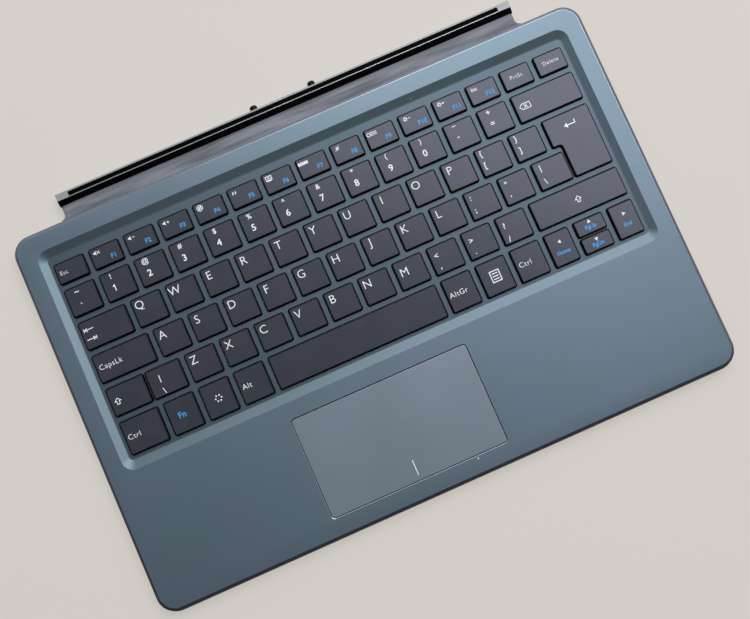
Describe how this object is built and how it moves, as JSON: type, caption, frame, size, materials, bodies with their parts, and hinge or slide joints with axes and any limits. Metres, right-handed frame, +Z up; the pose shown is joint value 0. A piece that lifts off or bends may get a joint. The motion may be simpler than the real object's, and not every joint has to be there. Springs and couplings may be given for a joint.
{
  "type": "tablet keyboard",
  "caption": "Slim keyboard with a touchpad and a dock rail on a flexible strip, which folds shut over the keys to carry a tablet.",
  "frame": {"origin": "under the middle of the whole keyboard, at the level of its feet", "axes": "+X along the width to the right, +Y from the user to the dock rail at the back, +Z up"},
  "size_m": [0.302, 0.2104, 0.0066],
  "materials": {
    "deck": "bead-blasted anodised, slate blue, with a polished bevel round the deck",
    "lower_case": "fine moulded grain, grey with a mauve tint",
    "keycaps": "satin charcoal with white and blue legends",
    "membrane": "clear film over printed tracks",
    "domes": "milky silicone",
    "links": "natural acetal",
    "wire": "drawn wire",
    "bracket": "rolled sheet",
    "circuit_board": "green solder mask",
    "board_parts": "moulded black",
    "ribbon": "amber film",
    "light_pipe": "clear, diffusing",
    "feet": "smooth, dark",
    "screws": "black oxide",
    "touchpad": "smooth satin, slate blue",
    "strip": "coated cloth, fine grain, grey with a mauve tint",
    "rail_metal": "satin, light grey",
    "rail_core": "moulded dark grey",
    "gloss_bar": "polished black",
    "rail_pad": "matt black",
    "posts": "satin black",
    "contacts": "gold plated",
    "magnets": "nickel plated"
  },
  "bodies": {
    "case": {"top_cover": "deck", "bottom_cover": "lower_case", "key_base_plate": "keycaps", "switch_membrane": "membrane", "dome_sheet": "domes", "scissor_links": "links", "stabiliser_bars": "wire", "touchpad_bracket": "bracket", "controller_board": "circuit_board", "board_parts": "board_parts", "keyboard_ribbon": "ribbon", "touchpad_ribbon": "ribbon", "dock_ribbon": "ribbon", "light_pipes": "light_pipe", "rubber_feet": "feet", "case_screws": "screws"},
    "key_q": {"key_q": "keycaps"},
    "key_w": {"key_w": "keycaps"},
    "key_e": {"key_e": "keycaps"},
    "key_r": {"key_r": "keycaps"},
    "key_t": {"key_t": "keycaps"},
    "key_y": {"key_y": "keycaps"},
    "key_u": {"key_u": "keycaps"},
    "key_i": {"key_i": "keycaps"},
    "key_o": {"key_o": "keycaps"},
    "key_p": {"key_p": "keycaps"},
    "key_a": {"key_a": "keycaps"},
    "key_s": {"key_s": "keycaps"},
    "key_d": {"key_d": "keycaps"},
    "key_f": {"key_f": "keycaps"},
    "key_g": {"key_g": "keycaps"},
    "key_h": {"key_h": "keycaps"},
    "key_j": {"key_j": "keycaps"},
    "key_k": {"key_k": "keycaps"},
    "key_l": {"key_l": "keycaps"},
    "key_z": {"key_z": "keycaps"},
    "key_x": {"key_x": "keycaps"},
    "key_c": {"key_c": "keycaps"},
    "key_v": {"key_v": "keycaps"},
    "key_b": {"key_b": "keycaps"},
    "key_n": {"key_n": "keycaps"},
    "key_m": {"key_m": "keycaps"},
    "key_space": {"key_space": "keycaps"},
    "key_enter": {"key_enter": "keycaps"},
    "key_backspace": {"key_backspace": "keycaps"},
    "key_tab": {"key_tab": "keycaps"},
    "key_caps_lock": {"key_caps_lock": "keycaps"},
    "key_left_shift": {"key_left_shift": "keycaps"},
    "key_right_shift": {"key_right_shift": "keycaps"},
    "touchpad": {"touchpad_plate": "touchpad", "touchpad_board": "circuit_board", "touchpad_switch": "board_parts"},
    "strip": {"hinge_strip": "strip"},
    "rail": {"dock_rail": "rail_metal", "dock_core": "rail_core", "dock_front_bar": "gloss_bar", "dock_top_pad": "rail_pad", "dock_posts": "posts", "dock_magnets": "magnets"},
    "contacts": {"contact_pins": "contacts"}
  },
  "joints": [
    {"name": "key_q_press", "type": "slide", "parent": "case", "child": "key_q", "axis": [0, 0, 1], "range_m": [-0.0013, 0], "stiffness_N_per_m": 400},
    {"name": "key_w_press", "type": "slide", "parent": "case", "child": "key_w", "axis": [0, 0, 1], "range_m": [-0.0013, 0], "stiffness_N_per_m": 400},
    {"name": "key_e_press", "type": "slide", "parent": "case", "child": "key_e", "axis": [0, 0, 1], "range_m": [-0.0013, 0], "stiffness_N_per_m": 400},
    {"name": "key_r_press", "type": "slide", "parent": "case", "child": "key_r", "axis": [0, 0, 1], "range_m": [-0.0013, 0], "stiffness_N_per_m": 400},
    {"name": "key_t_press", "type": "slide", "parent": "case", "child": "key_t", "axis": [0, 0, 1], "range_m": [-0.0013, 0], "stiffness_N_per_m": 400},
    {"name": "key_y_press", "type": "slide", "parent": "case", "child": "key_y", "axis": [0, 0, 1], "range_m": [-0.0013, 0], "stiffness_N_per_m": 400},
    {"name": "key_u_press", "type": "slide", "parent": "case", "child": "key_u", "axis": [0, 0, 1], "range_m": [-0.0013, 0], "stiffness_N_per_m": 400},
    {"name": "key_i_press", "type": "slide", "parent": "case", "child": "key_i", "axis": [0, 0, 1], "range_m": [-0.0013, 0], "stiffness_N_per_m": 400},
    {"name": "key_o_press", "type": "slide", "parent": "case", "child": "key_o", "axis": [0, 0, 1], "range_m": [-0.0013, 0], "stiffness_N_per_m": 400},
    {"name": "key_p_press", "type": "slide", "parent": "case", "child": "key_p", "axis": [0, 0, 1], "range_m": [-0.0013, 0], "stiffness_N_per_m": 400},
    {"name": "key_a_press", "type": "slide", "parent": "case", "child": "key_a", "axis": [0, 0, 1], "range_m": [-0.0013, 0], "stiffness_N_per_m": 400},
    {"name": "key_s_press", "type": "slide", "parent": "case", "child": "key_s", "axis": [0, 0, 1], "range_m": [-0.0013, 0], "stiffness_N_per_m": 400},
    {"name": "key_d_press", "type": "slide", "parent": "case", "child": "key_d", "axis": [0, 0, 1], "range_m": [-0.0013, 0], "stiffness_N_per_m": 400},
    {"name": "key_f_press", "type": "slide", "parent": "case", "child": "key_f", "axis": [0, 0, 1], "range_m": [-0.0013, 0], "stiffness_N_per_m": 400},
    {"name": "key_g_press", "type": "slide", "parent": "case", "child": "key_g", "axis": [0, 0, 1], "range_m": [-0.0013, 0], "stiffness_N_per_m": 400},
    {"name": "key_h_press", "type": "slide", "parent": "case", "child": "key_h", "axis": [0, 0, 1], "range_m": [-0.0013, 0], "stiffness_N_per_m": 400},
    {"name": "key_j_press", "type": "slide", "parent": "case", "child": "key_j", "axis": [0, 0, 1], "range_m": [-0.0013, 0], "stiffness_N_per_m": 400},
    {"name": "key_k_press", "type": "slide", "parent": "case", "child": "key_k", "axis": [0, 0, 1], "range_m": [-0.0013, 0], "stiffness_N_per_m": 400},
    {"name": "key_l_press", "type": "slide", "parent": "case", "child": "key_l", "axis": [0, 0, 1], "range_m": [-0.0013, 0], "stiffness_N_per_m": 400},
    {"name": "key_z_press", "type": "slide", "parent": "case", "child": "key_z", "axis": [0, 0, 1], "range_m": [-0.0013, 0], "stiffness_N_per_m": 400},
    {"name": "key_x_press", "type": "slide", "parent": "case", "child": "key_x", "axis": [0, 0, 1], "range_m": [-0.0013, 0], "stiffness_N_per_m": 400},
    {"name": "key_c_press", "type": "slide", "parent": "case", "child": "key_c", "axis": [0, 0, 1], "range_m": [-0.0013, 0], "stiffness_N_per_m": 400},
    {"name": "key_v_press", "type": "slide", "parent": "case", "child": "key_v", "axis": [0, 0, 1], "range_m": [-0.0013, 0], "stiffness_N_per_m": 400},
    {"name": "key_b_press", "type": "slide", "parent": "case", "child": "key_b", "axis": [0, 0, 1], "range_m": [-0.0013, 0], "stiffness_N_per_m": 400},
    {"name": "key_n_press", "type": "slide", "parent": "case", "child": "key_n", "axis": [0, 0, 1], "range_m": [-0.0013, 0], "stiffness_N_per_m": 400},
    {"name": "key_m_press", "type": "slide", "parent": "case", "child": "key_m", "axis": [0, 0, 1], "range_m": [-0.0013, 0], "stiffness_N_per_m": 400},
    {"name": "key_space_press", "type": "slide", "parent": "case", "child": "key_space", "axis": [0, 0, 1], "range_m": [-0.0013, 0], "stiffness_N_per_m": 400},
    {"name": "key_enter_press", "type": "slide", "parent": "case", "child": "key_enter", "axis": [0, 0, 1], "range_m": [-0.0013, 0], "stiffness_N_per_m": 400},
    {"name": "key_backspace_press", "type": "slide", "parent": "case", "child": "key_backspace", "axis": [0, 0, 1], "range_m": [-0.0013, 0], "stiffness_N_per_m": 400},
    {"name": "key_tab_press", "type": "slide", "parent": "case", "child": "key_tab", "axis": [0, 0, 1], "range_m": [-0.0013, 0], "stiffness_N_per_m": 400},
    {"name": "key_caps_lock_press", "type": "slide", "parent": "case", "child": "key_caps_lock", "axis": [0, 0, 1], "range_m": [-0.0013, 0], "stiffness_N_per_m": 400},
    {"name": "key_left_shift_press", "type": "slide", "parent": "case", "child": "key_left_shift", "axis": [0, 0, 1], "range_m": [-0.0013, 0], "stiffness_N_per_m": 400},
    {"name": "key_right_shift_press", "type": "slide", "parent": "case", "child": "key_right_shift", "axis": [0, 0, 1], "range_m": [-0.0013, 0], "stiffness_N_per_m": 400},
    {"name": "touchpad_press", "type": "hinge", "parent": "case", "child": "touchpad", "pos_m": [-0.01365, -0.048, 0.00475], "axis": [1, 0, 0], "range_deg": [0, 0.46], "stiffness_Nm_per_rad": 10, "springref_deg": -0.02},
    {"name": "strip_fold", "type": "hinge", "parent": "case", "child": "strip", "pos_m": [0, 0.0903, 0.004], "axis": [1, 0, 0], "range_deg": [0, 90]},
    {"name": "rail_fold", "type": "hinge", "parent": "strip", "child": "rail", "pos_m": [0, 0.0959, 0.004], "axis": [1, 0, 0], "range_deg": [0, 90]},
    {"name": "contact_press", "type": "slide", "parent": "rail", "child": "contacts", "axis": [0, 1, 0], "range_m": [-0.0005, 0], "stiffness_N_per_m": 800}
  ],
  "couplings": [
    {"joint": "rail_fold", "follows": "strip_fold", "ratio": 1}
  ]
}
